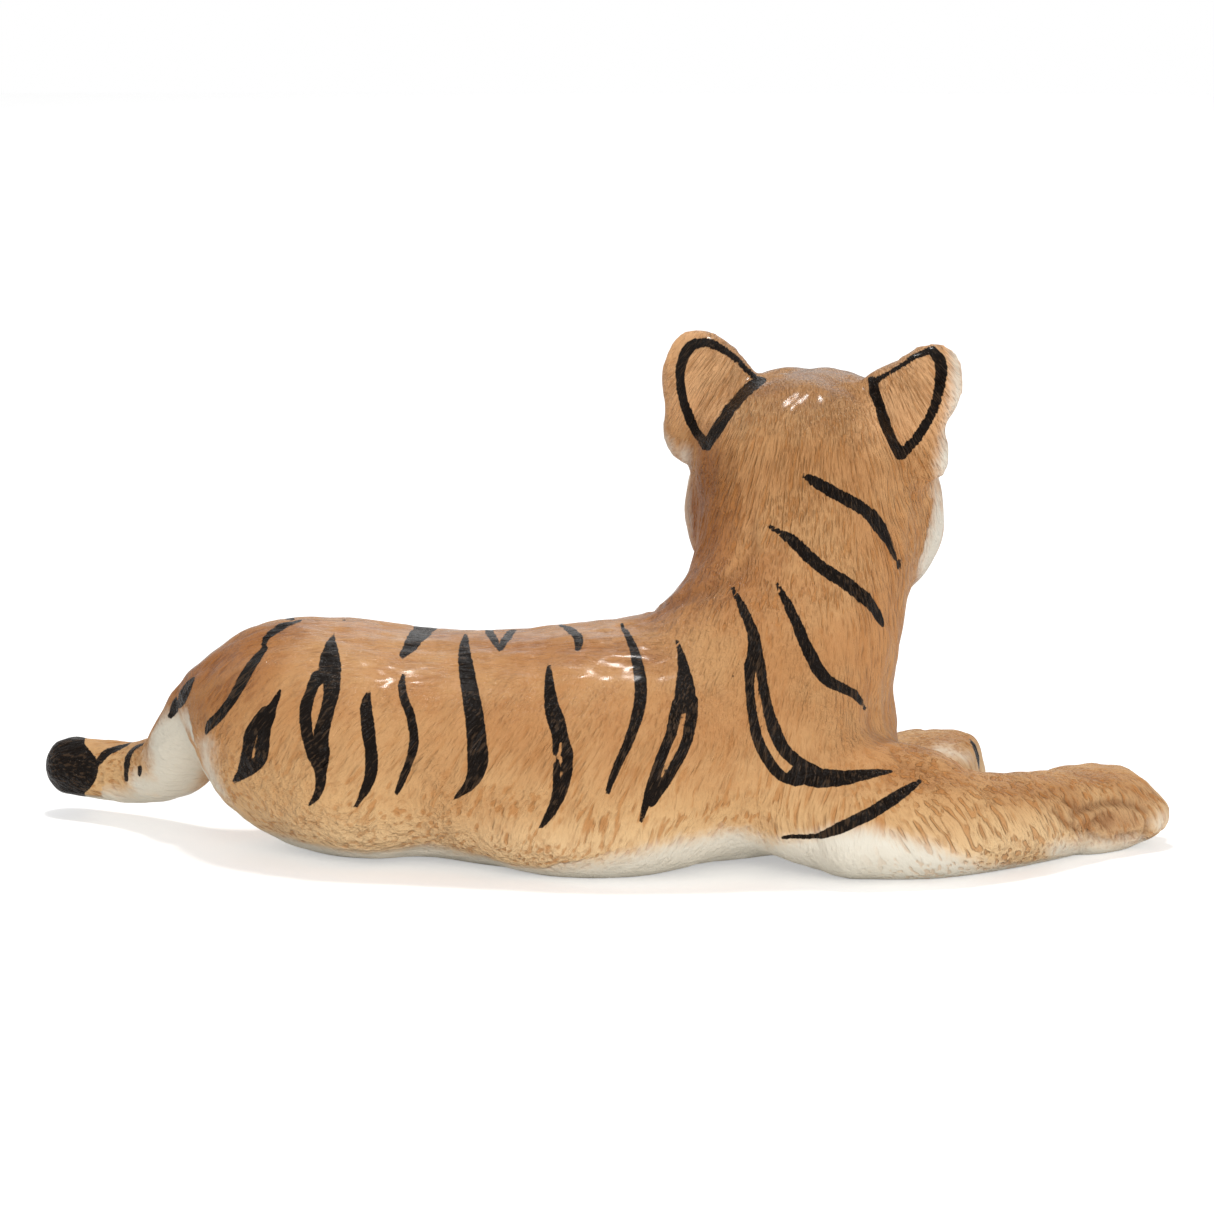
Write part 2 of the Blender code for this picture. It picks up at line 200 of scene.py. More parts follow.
def massShell(centre, radii, place=Matrix.Identity(4), shape=None):
    # A unit ball as a grid of latitude and turn, reshaped, stretched to its radii and placed.
    around = skinShape["ballPoints"]
    latitude = np.linspace(-0.5 * math.pi, 0.5 * math.pi, skinShape["ballRings"] + 2)[1:-1, None]
    turn = 2 * math.pi * np.arange(around) / around
    ball = np.stack([np.cos(latitude) * np.cos(turn), np.cos(latitude) * np.sin(turn),
                     np.repeat(np.sin(latitude), around, 1)], -1)
    points = (shape(ball) if shape else ball * np.asarray(radii)) + np.asarray(centre)
    return ringShell(placed(points.reshape(-1, 3), place).reshape(ball.shape))


def pawShells(middle, heading, length, width, height, roundness):
    # A rounded foot and its toes side by side, further back the further they are from the middle.
    place = Matrix.Translation((*middle, 0)) @ turned(heading, "Z")
    radii = np.array((pawShape["footShare"] * length, width / 2, height * (0.5 + pawShape["sink"] / 2)))

    def boxy(ball):
        return np.sign(ball) * np.abs(ball) ** roundness * radii

    shells = [massShell((-pawShape["footBack"] * length, 0, height - radii[2]), radii, place, boxy)]
    toeLength, toeWidth, toeHeight = pawShape["toeRadii"]
    toeRadii = (toeLength, toeWidth * pawShape["toeOverlap"], toeHeight)
    half = (pawShape["toes"] - 1) / 2
    for across in (np.arange(pawShape["toes"]) - half) * (width / 2 - toeWidth) / half:
        ahead = length / 2 - toeLength - pawShape["toeArc"] * across**2
        shells.append(massShell((ahead, across, toeHeight + pawShape["toeLift"]), toeRadii, place))
    return shells


def turned(degrees, axis):
    return Matrix.Rotation(math.radians(degrees), 4, axis)


headPlace = (Matrix.Translation(headShape["centre"]) @ turned(-headShape["turn"], "Z")
             @ turned(-headShape["nod"], "X") @ turned(headShape["tilt"], "Y"))


def headShells(masses):
    # Balls placed in the head, each off the middle once on either side.
    return [massShell((side * right, forward, up), radii, headPlace)
            for (right, forward, up), radii in masses for side in ((1, -1) if right else (1,))]


def earPlace(side):
    # The head's place, then the ear's own: 1 is the right ear and -1 the left.
    base = Matrix.Translation((side * earShape["right"][side], earShape["forward"], earShape["up"][side]))
    return (headPlace @ base @ turned(side * earShape["turn"], "Z")
            @ turned(side * earShape["lean"][side], "Y"))


def earShell(side):
    # A cup: the back half bulges, the front half has a rounded rim round a hollow.
    def cup(ball):
        x, y, z = ball[..., 0], ball[..., 1], ball[..., 2]
        fromMiddle = np.minimum(1, np.hypot(x, z))
        front = y * earShape["rim"] - earShape["hollow"] * (1 - fromMiddle**2) ** 2 * y
        pushed = 1 + earShape["corner"][side] * 2 * side * x * np.maximum(0, z)
        outer = earShape["outerWidth"][side] * (1 + earShape["outerFlare"][side] * np.maximum(0, -z))
        across = x * pushed * np.where(side * x < 0, earShape["innerWidth"], outer)
        deep = np.where(y < 0, y * earShape["bulge"], front)
        return np.stack([across, deep, z * pushed * earShape["halfHeight"]], -1)

    return massShell((0, 0, 0), (1, 1, 1), earPlace(side), cup)


def joinedMesh(name, shells):
    # One mesh of all the shells, each shell's faces counted on from the last one's points.
    mesh = bpy.data.meshes.new(name)
    places, faces, start = [], [], 0
    for points, polygons in shells:
        places.append(points)
        faces += [[v + start for v in polygon] for polygon in polygons]
        start += len(points)
    mesh.from_pydata(np.vstack(places).tolist(), [], faces)
    return mesh


def fusedMesh(mesh, voxel, passes):
    # One skin round all the shells, with its creases softened by so many smoothing passes.
    holder = bpy.data.objects.new("fusing", mesh)
    bpy.context.scene.collection.objects.link(holder)
    fuse = holder.modifiers.new("fuse", "REMESH")
    fuse.mode = "VOXEL"
    fuse.voxel_size = voxel
    soften = holder.modifiers.new("soften", "SMOOTH")
    soften.factor = 0.5
    soften.iterations = passes
    skin = bpy.data.meshes.new_from_object(holder.evaluated_get(bpy.context.evaluated_depsgraph_get()))
    bpy.data.objects.remove(holder)
    return skin


def readVectors(items, count, key="co"):
    # A mesh's vectors as rows of x, y, z.
    values = np.empty(count * 3, np.float32)
    items.foreach_get(key, values)
    return values.reshape(-1, 3).astype(float)


def meshShell(mesh):
    return readVectors(mesh.vertices, len(mesh.vertices)), [list(p.vertices) for p in mesh.polygons]


def buildSkin():
    # The trunk, neck, upper legs and skull flow into one soft body, and the rest stands out from it.
    flowing = [limbShell(trunkShape["trunk"], trunkShape["up"]),
               limbShell(trunkShape["neck"], trunkShape["neckUp"])]
    flowing += [massShell(*mass) for mass in trunkShape["masses"]]
    flowing += [limbShell(leg, legShape["up"]) for leg in legShape["flowing"]]
    flowing += headShells(headShape["flowing"])
    body = fusedMesh(joinedMesh("body", flowing), skinShape["bodyVoxel"], skinShape["bodyPasses"])
    shells = [meshShell(body)]
    shells += [limbShell(leg, legShape["up"]) for leg in legShape["standingOut"] + [legShape["tail"]]]
    for paw in pawShape["paws"]:
        shells += pawShells(*paw)
    shells += headShells(headShape["standingOut"])
    shells += [earShell(1), earShell(-1)]
    return fusedMesh(joinedMesh("cub", shells), skinShape["voxel"], skinShape["passes"])


skin = buildSkin()
points = readVectors(skin.vertices, len(skin.vertices))
normals = readVectors(skin.vertices, len(skin.vertices), "normal")
middle = np.append((points.min(0) + points.max(0))[:2] / 2, 0)
print("skin fused:", len(points), "points, middle", middle.round(2))

# The photograph's camera: it looks along +y from a little above.
view = {"pixels": 1214, "pixelsPerMm": 14.0, "distance": 550.0, "elevation": 10.0, "aim": (0.0, 0.0, 18.2)}
eyeUp = math.radians(view["elevation"])
eyeBack = np.array([0, -math.cos(eyeUp), math.sin(eyeUp)])
eyeRise = np.array([0, math.sin(eyeUp), math.cos(eyeUp)])
eyePlace = np.array(view["aim"]) + view["distance"] * eyeBack
headAxes = np.array(headPlace)[:3, :3]
bodyMiddle = np.array([0, 5, 15])
unpainted = -9.0        # the depth of a place that no stroke comes near


def drawingPlane(side, places, facings):
    # Where each place falls on a side's drawing plane, in millimetres, and the cosine between
    # its normal and the way to the viewer. The camera's plane goes through its aim.
    if side == "camera":
        reach = places - eyePlace
        scale = view["distance"] / -(reach @ eyeBack)
        return (np.stack([reach[:, 0] * scale, (reach @ eyeRise) * scale], 1),
                -(facings * unit(reach)).sum(1))
    if side == "far":
        return places[:, [0, 2]], facings[:, 1]
    if side == "top":
        return places[:, [0, 1]], facings[:, 2]
    return placed(places, headPlace.inverted())[:, [0, 2]], facings @ headAxes[:, 1]      # face


def raysFrom(side, flat):
    # Starts and directions of the rays that drop a drawing's points on the skin.
    zero = np.zeros(len(flat))
    if side == "camera":
        target = np.array(view["aim"]) + flat[:, :1] * np.array([1.0, 0, 0]) + flat[:, 1:] * eyeRise
        return np.repeat(eyePlace[None], len(flat), 0), unit(target - eyePlace)
    if side == "far":
        return np.stack([flat[:, 0], zero + 80, flat[:, 1]], 1), np.stack([zero, zero - 1, zero], 1)
    if side == "top":
        return np.stack([flat[:, 0], flat[:, 1], zero + 80], 1), np.stack([zero, zero, zero - 1], 1)
    start = np.stack([flat[:, 0], zero + 40, flat[:, 1]], 1)
    return placed(start, headPlace), np.repeat(-headAxes[:, 1][None], len(flat), 0)


def dropped(side, flat):
    # Where each ray meets the skin, or the skin's nearest place to a ray that misses it.
    found = []
    for start, way in zip(*raysFrom(side, flat)):
        hit = skinTree.ray_cast(Vector(start), Vector(way))[0]
        if hit is None:
            hit = skinTree.find_nearest(Vector(start + way * ((bodyMiddle - start) @ way)))[0]
        found.append(hit)
    return np.array(found)


strokeShape = {
    "step": 0.35,                   # between the places at which a stroke is dropped on the skin
    "hairline": 0.1,                # half width of the thinnest line, about that of the skin's mesh
    "margin": 2.5,                  # how far outside a stroke its depth is still worked out
    "turnsAway": (0.08, 0.3),       # cosines between which the skin counts as turned away from the viewer
    "throughSkin": -2.0,            # deeper than this in space, a place is on the body's other side
}


def strokeDepth(side, stroke):
    # How deep each point of the skin lies inside a brush stroke, in millimetres: half the stroke's
    # width less the distance from its centre line, and negative outside. The distance is the one
    # seen on the drawing where the skin faces the viewer, and the one in space where it turns away.
    stroke = np.atleast_2d(np.asarray(stroke, float)).copy()
    if side == "camera":
        middleOfFrame = view["pixels"] / 2
        stroke = (stroke - (middleOfFrame, middleOfFrame, 0)) * (1, -1, 1) / view["pixelsPerMm"]
    if len(stroke) > 1:
        length = np.linalg.norm(np.diff(stroke[:, :2], axis=0), axis=1).sum()
        stroke = splineRows(stroke, max(2, int(length / strokeShape["step"] / (len(stroke) - 1)) + 1))
    else:
        stroke = np.repeat(stroke, 2, 0) + [[-0.01, 0, 0], [0.01, 0, 0]]
    flat, half = stroke[:, :2], np.hypot(stroke[:, 2] / 2, strokeShape["hairline"])
    line = dropped(side, flat)
    depth = np.full(len(points), unpainted)
    reach = half.max() + strokeShape["margin"]
    near = np.flatnonzero(((points > line.min(0) - reach) & (points < line.max(0) + reach)).all(1))
    plane, facing = planes[side]
    seen, inSpace = np.full(len(near), unpainted), np.full(len(near), unpainted)

    def fall(at, a, d, h0, h1):
        # The half width at the nearest place of the piece from a to a + d, less the distance to it.
        t = np.clip((at - a) @ d / max(d @ d, 1e-9), 0, 1)
        return h0 + (h1 - h0) * t - np.linalg.norm(at - a - t[:, None] * d, axis=1)

    pieces = zip(flat, np.diff(flat, axis=0), line, np.diff(line, axis=0), half[:-1], half[1:])
    for a, d, a3, d3, h0, h1 in pieces:
        seen = np.maximum(seen, fall(plane[near], a, d, h0, h1))
        inSpace = np.maximum(inSpace, fall(points[near], a3, d3, h0, h1))
    square = smoothRise(facing[near], *strokeShape["turnsAway"]) * (inSpace > strokeShape["throughSkin"])
    depth[near] = inSpace + (seen - inSpace) * square
    return depth


def paintDepth(strokes):
    # The depth in whichever stroke is deepest at each point.
    depth = np.full(len(points), unpainted)
    for side, drawn in strokes.items():
        for stroke in drawn:
            depth = np.maximum(depth, strokeDepth(side, stroke))
    return depth


def bothSides(strokes):
    # Each face stroke and its twin on the other half of the face.
    return strokes + [[(-x, z, w) for x, z, w in stroke] for stroke in strokes]


# Near-black brush strokes: across, up or down, and full width at each point. The camera's are in
# pixels from its picture's upper left corner, and the others in millimetres.
blackPaint = {"camera": [
    # left ear
    [(706, 446, 10), (693, 426, 9), (685, 406, 9), (681, 386, 9), (681, 368, 10), (685, 354, 11),
     (694, 345, 10), (706, 343, 9), (720, 347, 8), (732, 356, 6), (744, 367, 5), (754, 377, 5),
     (761, 381, 6)],
    [(761, 380, 10), (750, 389, 12), (738, 401, 12), (726, 416, 11), (717, 430, 11), (708, 444, 10)],
    # right ear
    [(873, 382, 10), (876, 396, 11), (881, 412, 10), (887, 428, 11), (894, 443, 11), (901, 454, 11)],
    [(901, 455, 10), (914, 441, 9), (926, 424, 9), (934, 408, 9), (939, 390, 10), (941, 374, 11),
     (940, 362, 12), (934, 352, 9)],
    [(933, 350, 7), (920, 354, 5.5), (906, 362, 4), (892, 371, 3.5), (878, 380, 4)],
    # nape
    [(803, 475, 3), (812, 480, 9), (824, 487, 12), (840, 496, 12), (856, 505, 12.5), (870, 515, 13),
     (880, 528, 12), (887, 540, 8)],
    [(888, 542, 7), (891.5, 550, 3)],
    [(892.5, 552, 4), (894.5, 557, 4)],
    [(898, 561, 3), (899, 567, 4)],
    [(769.5, 526.5, 3), (779.5, 532, 5.5)],
    [(782.5, 534, 7), (792, 540, 11), (804, 552, 12), (816, 563, 12.5), (830, 573, 13), (846, 583, 13),
     (860, 594, 13), (872, 606, 11), (879, 618, 8), (882, 625, 2.5)],
    [(777, 583, 2.5), (785, 600, 8), (795, 620, 10), (805, 643, 11), (817, 667, 12.5), (827, 680, 12),
     (840, 687, 10), (853, 693, 8.5), (862, 703, 4)],
    [(864.7, 709, 3)],
    # shoulder
    [(731, 586, 2.5), (740, 603, 7), (748, 620, 10), (753, 633, 11), (755, 650, 15), (755, 662, 17)],
    [(750, 663, 12), (749.5, 683, 9), (751, 703, 9), (754, 723, 9.5), (759, 743, 10.5), (768, 760, 11),
     (780, 775, 10), (797, 782, 9)],
    [(759, 660, 11), (763.5, 687, 9.5), (767.5, 707, 10), (774.5, 730, 13), (784.5, 750, 13),
     (798, 762, 12), (817, 772, 11)],
    [(800, 773, 20), (817, 778, 19), (837, 778, 16), (857, 776, 12), (877, 773, 7), (891.5, 771, 2)],
    # forearm
    [(783, 837, 2.5), (800, 837, 3.5), (817, 836, 5), (833, 831, 10), (853, 822, 12), (873, 812, 12.5),
     (893, 799, 12), (910, 788, 8), (919, 782, 4)],
    # flank, from the shoulder back
    [(677, 640, 1.5), (681, 655, 7), (684, 672, 13), (685, 690, 20), (685, 702, 21)],
    [(677.5, 704, 12), (671, 733, 10.5), (663, 753, 10), (655, 777, 10.5), (648, 797, 9),
     (641, 821, 3)],
    [(692, 700, 11), (691, 720, 11.5), (685, 746, 10.5), (673, 769, 10), (662, 787, 9),
     (652, 804, 6)],
    [(622, 625.5, 3), (627.5, 635, 6), (634, 650, 8.5), (638, 665, 11), (640.5, 682, 12),
     (640.5, 700, 12), (637, 717, 12), (633, 730, 10), (626, 747.5, 9), (619, 762, 8),
     (612.5, 777, 7), (608, 792, 4)],
    [(555, 625, 3), (567.5, 627.5, 6.5), (576, 635, 8.5), (579, 641, 9), (577, 649, 3.5)],
    [(549, 664.5, 2.5), (549, 677, 7.5), (550, 692, 11.5), (552, 707, 15), (556, 720, 17), (560, 735, 16),
     (563, 755, 20), (562.5, 772, 19), (560, 790, 15), (554, 807, 11), (546, 820, 7), (540, 828, 2)],
    [(487.5, 630, 8), (494, 640, 7), (500, 650, 3)],
    [(512.5, 630, 9), (506, 640, 7), (501, 650, 3)],
    [(466, 636, 4), (464.5, 650, 11), (466, 667, 15), (469, 685, 16.5), (472.5, 705, 18),
     (475.5, 725, 19), (477.5, 745, 20), (478, 760, 20), (475, 775, 16), (467.5, 787.5, 10),
     (455, 798, 2.5)],
    [(425, 627, 20), (416, 637.5, 16), (409, 647.5, 12), (402.5, 655, 6)],
    [(404, 674.5, 2), (402, 685, 7), (404.5, 700, 8.5), (409.5, 712, 8.5), (413, 727, 9), (414, 742, 9),
     (411, 757, 8.5), (405.5, 772, 7), (400, 785, 5.5), (396, 794, 3)],
    # haunch
    [(369, 692, 2), (366, 705, 11), (367, 720, 13), (369, 735, 13), (371, 750, 12.5), (372, 765, 12.5),
     (369, 780, 11), (364, 792, 8), (355.5, 807, 2)],
    [(333, 633, 1), (331, 647, 12), (330, 665, 22), (331.5, 680, 18), (331, 692, 16),
     (328.5, 705, 15), (325, 720, 14), (321.5, 735, 14), (321, 755, 16), (321, 772, 12),
     (320, 787, 9), (316, 797, 7), (309.5, 804.5, 2)],
    [(318, 676, 12), (310, 692, 10), (305.5, 708, 12), (306, 726, 12), (309.5, 742, 12), (315, 757, 13),
     (320, 772, 10)],
    [(265, 712, 12), (251, 732, 12), (247, 750, 11), (244, 765, 11), (235, 780, 3)],
    [(280.5, 691, 2), (272.5, 707, 9), (265, 725, 15), (263, 745, 14), (260, 760, 13), (250, 770, 11),
     (235, 781, 3)],
    [(266, 647, 3), (257, 658, 9), (249, 670, 10), (239, 687, 10), (230, 702, 10), (220, 715, 9),
     (211, 725, 9), (207, 732, 4)],
    [(300, 621, 3), (286, 625, 4), (272.5, 632.5, 6), (265, 640, 5), (263, 647.5, 3)],
    [(193, 679, 5), (186, 689, 9), (179, 701, 11), (170, 716, 5)],
    # tail
    [(99, 760, 7), (105, 753, 7), (117, 747, 5), (129, 742, 3.5), (135, 741, 2)],
    [(126.5, 780.5, 2.5), (126, 768, 4.5), (128, 758, 4), (134, 749, 4), (144, 743.5, 2)],
    [(139, 767, 3), (139.5, 775, 2)],
    [(52, 768, 70), (64, 769, 64), (78, 769, 40)],
    # far forepaw's edge
    [(971, 740, 4), (975, 749, 6), (978, 758, 7), (979, 766, 7)],
    # specks where the brush dripped
    [(733, 677, 2.5)], [(920, 781, 3.5)], [(344, 620, 3)],
], "top": [
    # over the spine and down the far side
    [(-13.4, 1.0, 1.3), (-12.7, 4.5, 1.3), (-13.2, 7.5, 0.5)],
    [(-8.2, 2.5, 0.5), (-7.2, 5.0, 1.0), (-8.0, 8.0, 0.3)],
    [(-22.6, 3.5, 0.3), (-23.2, 7.0, 1.0), (-22.6, 10.0, 0.4)],
    [(-2.6, 2.0, 0.5), (-2.0, 4.5, 1.0), (-2.6, 7.0, 0.4)],
    # left foreleg and shank
    [(15.4, 12.2, 0.2), (17.0, 10.4, 0.8), (18.8, 8.6, 0.2)],
    [(18.8, 15.0, 0.2), (20.6, 13.0, 0.8), (22.4, 11.4, 0.2)],
    [(-10.6, 15.0, 0.3), (-9.6, 17.2, 0.9), (-10.4, 20.4, 0.2)],
    [(-14.0, 17.6, 0.2), (-13.0, 19.6, 0.9), (-13.4, 22.4, 0.2)],
], "far": [
    [(5.6, 20.4, 0.4), (8.0, 20.0, 1.0), (11.0, 18.8, 0.9), (13.6, 18.4, 0.3)],
    [(4.0, 18.2, 0.4), (6.8, 16.8, 1.1), (9.8, 15.4, 1.0), (12.4, 15.0, 0.3)],
    [(2.0, 15.6, 0.4), (1.2, 13.0, 1.1), (1.6, 10.0, 1.2), (2.6, 7.0, 0.3)],
    [(-2.6, 14.6, 0.3), (-3.2, 12.4, 1.2), (-2.9, 9.4, 1.3), (-1.8, 6.4, 0.3)],
    [(-7.4, 14.6, 0.3), (-8.0, 12.8, 0.9), (-7.0, 10.4, 0.9), (-5.6, 8.8, 0.3)],
    [(-12.2, 14.0, 0.3), (-12.8, 11.8, 1.3), (-12.0, 8.8, 1.4), (-9.8, 6.2, 0.3)],
    [(-16.6, 13.4, 0.3), (-17.4, 11.2, 1.3), (-16.4, 8.2, 1.2), (-14.4, 5.8, 0.3)],
    [(-21.4, 12.6, 0.3), (-22.0, 10.2, 1.1), (-21.2, 7.6, 1.0), (-19.4, 5.4, 0.3)],
    [(-25.8, 12.0, 0.3), (-26.6, 9.8, 0.8), (-26.2, 8.0, 0.3)],
], "face": bothSides([
    [(1.3, 6.3, 0.2), (2.0, 5.2, 0.6), (1.6, 4.1, 0.2)],
    [(3.0, 6.2, 0.2), (3.8, 5.1, 0.6), (3.6, 4.2, 0.2)],
    [(4.6, 5.4, 0.2), (5.4, 4.2, 0.7), (5.2, 3.2, 0.2)],
    [(6.3, 2.2, 0.2), (7.3, 0.4, 0.9), (7.1, -1.6, 0.3)],
    [(5.4, -0.9, 0.2), (6.7, -2.2, 0.9), (6.3, -4.4, 0.3)],
    [(4.4, -5.6, 0.2), (5.6, -5.0, 0.6), (6.5, -5.6, 0.2)],
    [(0.0, -3.0, 0.3), (0.05, -4.1, 0.35), (1.1, -5.2, 0.4), (2.5, -5.3, 0.4), (3.6, -4.6, 0.2)],
    [(2.2, 0.1, 0.5), (1.9, -0.9, 0.3), (1.8, -1.5, 0.1)],
    [(1.7, -3.6, 0.3)], [(2.5, -3.5, 0.3)], [(3.3, -3.3, 0.25)],
    [(1.9, -4.3, 0.3)], [(2.8, -4.2, 0.3)], [(3.5, -3.9, 0.25)],
]) + [[(0.0, 6.4, 0.2), (0.0, 5.4, 0.5), (0.0, 4.6, 0.2)]]}
# Bare slits that the brush left inside a black stroke.
bareSlits = {"camera": [
    [(552.5, 762, 0), (559, 755, 0), (561, 744, 0)],
    [(560.5, 757, 0), (562.5, 768, 1), (561, 777, 0)],
]}
# Cream paint on the underside, the tail's base, the cheeks and the chest.
creamPaint = {"camera": [
    [(178, 742, 60), (176, 765, 56), (170, 785, 44)],
    [(90, 800, 16), (120, 802, 22), (150, 803, 26)],
    [(205, 745, 4), (212, 785, 9), (236, 822, 9), (270, 848, 4)],
    [(470, 868, 6), (520, 873, 14), (560, 878, 24), (620, 875, 34), (680, 862, 38), (730, 847, 32),
     (760, 852, 28)],
    [(760, 856, 26), (810, 862, 50), (860, 864, 66), (920, 871, 54), (970, 876, 30), (1010, 876, 8)],
    [(1055, 852, 12), (1085, 853, 18), (1120, 850, 16), (1138, 847, 10)],
    [(1160, 820, 0), (1160, 825, 0)],
    [(938, 750, 0), (952, 753, 1), (966, 757, 3)],
    [(683, 455, 6), (682, 500, 6), (683, 540, 3)],
    [(947, 455, 10), (945, 500, 18), (938, 545, 24), (920, 582, 20)],
    [(956, 350, 4), (958, 385, 9), (953, 425, 11), (945, 464, 14)],
    [(644, 400, 8), (650, 430, 10), (668, 456, 10)],
], "face": bothSides([
    [(3.6, 2.6, 2.2), (4.6, 2.5, 1.8)],
    [(2.0, -3.8, 5.4), (3.0, -4.6, 4.4)],
    [(6.8, -3.4, 4.4), (7.6, -0.8, 3.4)],
    [(3.2, -1.2, 1.6), (4.4, -1.4, 1.6)],
]) + [[(0.0, -7.6, 4.4), (0.0, -6.2, 3.6)]], "far": [
    [(-30.6, 6.0, 4.6), (-31.6, 3.2, 4.6)],
    [(-33.0, 1.0, 2.4), (-38.0, 0.8, 2.0)],
    [(-20.0, 0.6, 5.0), (-10.0, 1.0, 5.0), (0.0, 1.2, 7.0), (8.0, 2.0, 8.0)],
    [(14.0, 14.0, 7.0), (15.6, 11.0, 7.0), (15.0, 8.0, 6.0)],
    [(-7.0, 2.0, 3.0), (-5.0, 5.0, 2.6)],
]}
# Brown airbrushed wash, partly painted shade: on the left of the neck, which turns from the light, and
# along the top of the back.
washAndShadePaint = {"camera": [
    [(160, 705, 40), (185, 680, 60), (215, 658, 60), (250, 640, 50), (300, 626, 26)],
    [(200, 706, 44), (226, 690, 44), (262, 668, 30)],
    [(160, 715, 24), (140, 745, 16)],
    # painted shade on the left of the neck, which turns from the light
    [(660, 610, 40), (686, 580, 70), (700, 540, 84), (704, 500, 76), (704, 450, 40)],
    [(640, 620, 14), (690, 608, 22), (740, 590, 20), (770, 556, 14)],
    [(440, 638, 12), (520, 645, 14), (600, 648, 20), (660, 660, 24)],
    [(890, 775, 14), (920, 778, 18), (960, 782, 16)],
    [(1075, 800, 30), (1092, 818, 26), (1118, 838, 20), (1140, 826, 16)],
    [(1112, 803, 12), (1130, 804, 12), (1148, 812, 12), (1150, 824, 10), (1146, 838, 8)],
    [(1000, 792, 24), (1040, 792, 26), (1070, 790, 30)],
    [(1080, 775, 20), (1120, 785, 26), (1150, 800, 24)],
    [(915, 745, 12), (945, 739, 12), (972, 740, 10)],
    [(1090, 822, 34), (1120, 822, 40), (1140, 822, 26)],
], "face": bothSides([
    [(1.4, 5.0, 3.4), (3.4, 5.0, 3.0)],
    [(0.6, 1.6, 1.6), (0.8, -0.6, 1.4)],
]), "far": [
    [(-26.0, 12.0, 4.0), (-20.0, 14.0, 4.0), (-10.0, 14.0, 3.0), (0.0, 15.0, 3.0)],
    [(9.0, 22.0, 4.0), (10.0, 17.0, 4.0)],
]}
# Where the skin is rough with small tufts.
tuftPaint = {"camera": [
    [(262, 790, 30), (300, 815, 44), (350, 832, 40), (400, 835, 30)],
    [(432, 740, 16), (440, 780, 34), (450, 830, 34)],
    [(620, 640, 30), (680, 640, 50), (720, 650, 60), (715, 700, 50)],
    [(700, 600, 20), (730, 590, 30)],
    [(790, 640, 50), (820, 690, 60), (840, 735, 40)],
    [(1000, 845, 14), (1040, 850, 24)],
], "far": [
    [(-20.0, 4.0, 4.0), (-14.0, 2.6, 4.0)],
    [(6.0, 14.0, 5.0), (12.0, 10.0, 5.0)],
], "top": [
    [(4.0, -3.0, 5.0), (8.0, 0.0, 5.0), (8.0, 4.0, 4.0)],
]}
# Folds pressed into the skin, with brown in them: each group's depth in millimetres and its strokes.
foldShape = [
    (0.34, {"camera": [
        [(1076, 815, 0), (1086, 809, 2), (1098, 804, 4), (1112, 802, 5), (1130, 804, 4), (1146, 810, 3)],
        [(1149, 820, 1), (1148, 830, 3), (1143, 839, 2)],
        [(1096, 822, 0), (1104, 816, 1), (1113, 816, 1)],
        [(1106, 824, 3), (1111, 823, 2)],
        [(1088, 826, 0), (1094, 838, 1), (1110, 843, 0)],
        [(1118, 836, 0), (1128, 838, 2), (1138, 834, 0)],
        [(1056, 810, 0), (1068, 822, 1), (1082, 834, 1)],
        [(1066, 800, 0), (1076, 806, 1), (1084, 808, 0)]]}),
    (0.20, {"camera": [
        [(640, 614, 2), (672, 604, 6), (704, 592, 8), (736, 574, 8), (752, 552, 6), (752, 520, 2)],
        [(893, 752, 2), (905, 764, 4), (925, 768, 2)]]}),
]

skinTree = BVHTree.FromPolygons(points.tolist(), [list(p.vertices) for p in skin.polygons])
planes = {side: drawingPlane(side, points, normals) for side in ("camera", "far", "top", "face")}
black = np.minimum(paintDepth(blackPaint), -paintDepth(bareSlits))
tailTip = -38.4
black = np.maximum(black, tailTip - points[:, 0])      # black all the way round the tip
cream = paintDepth(creamPaint)
washAndShade, tufts = paintDepth(washAndShadePaint), paintDepth(tuftPaint)
print("paint laid out")

# How the fur lies: on the flank and the nape it fans out from a point above, in x and z, and on the
# others it runs in one direction. Lengths and depths are of the streaks that the skin itself carries.
furShape = {
    "flankFan": (19.0, 52.0), "napeFan": (15.0, 46.0),
    "spine": (-1.0, 0.15, 0.0), "forearm": (0.42, 0.25, -0.87),
    "length": 2.8, "grain": 0.62, "depth": 0.085, "forearmDepth": 0.1,
    "lumpLength": 4.0, "lumpGrain": 1.2, "lumpDepth": 0.08,
    "waver": 0.35, "waverGrain": 2.6,      # how far the streaks stray sideways, and over what distance
    # where each region begins and where it is whole: ahead is x, left is y, up is z, and facing is
    # how far the skin faces upwards
    "headUp": (15.0, 20.0), "headAhead": (3.0, 8.0), "forearmAhead": (17.0, 22.0),
    "forearmUp": (10.0, 14.0), "tailAhead": (-31.0, -28.0), "spineFacing": (0.6, 0.9),
    "pawAhead": (30.0, 33.5), "leftLeg": (2.0, 6.0), "glossFacing": (0.25, 0.7), "glossUp": (9.0, 13.0),
}
# The face from in front, in millimetres from its middle line and up from the head's centre.
faceShape = {
    "ahead": (3.0, 5.0), "up": (14.0, 16.0),      # where the face begins
    # the eye's middle, and half the width and height of its black rim and of what is open
    "eye": (3.7, 0.7), "eyeSlant": 0.12, "eyeDrop": 0.05, "eyeRim": (1.95, 1.25), "eyeOpen": (1.55, 0.9),
    # in each eye, for the pupil and for a painted highlight: right, forward and up, the shift of both to
    # the right, and the radius
    "pupil": (3.6, 7.6, 0.65, 0.0, 1.1), "paintedHighlight": (3.6, 7.8, 1.05, 0.3, 0.34),
    # half width and height of the widest place, narrowing per millimetre, top, bottom and front
    "nose": (1.55, -1.6, 0.55, -0.95, -2.9, 9.5),
    "earAcross": (3.6, 6.0), "earUp": (1.5, 5.0), "earInside": 0.85,
}


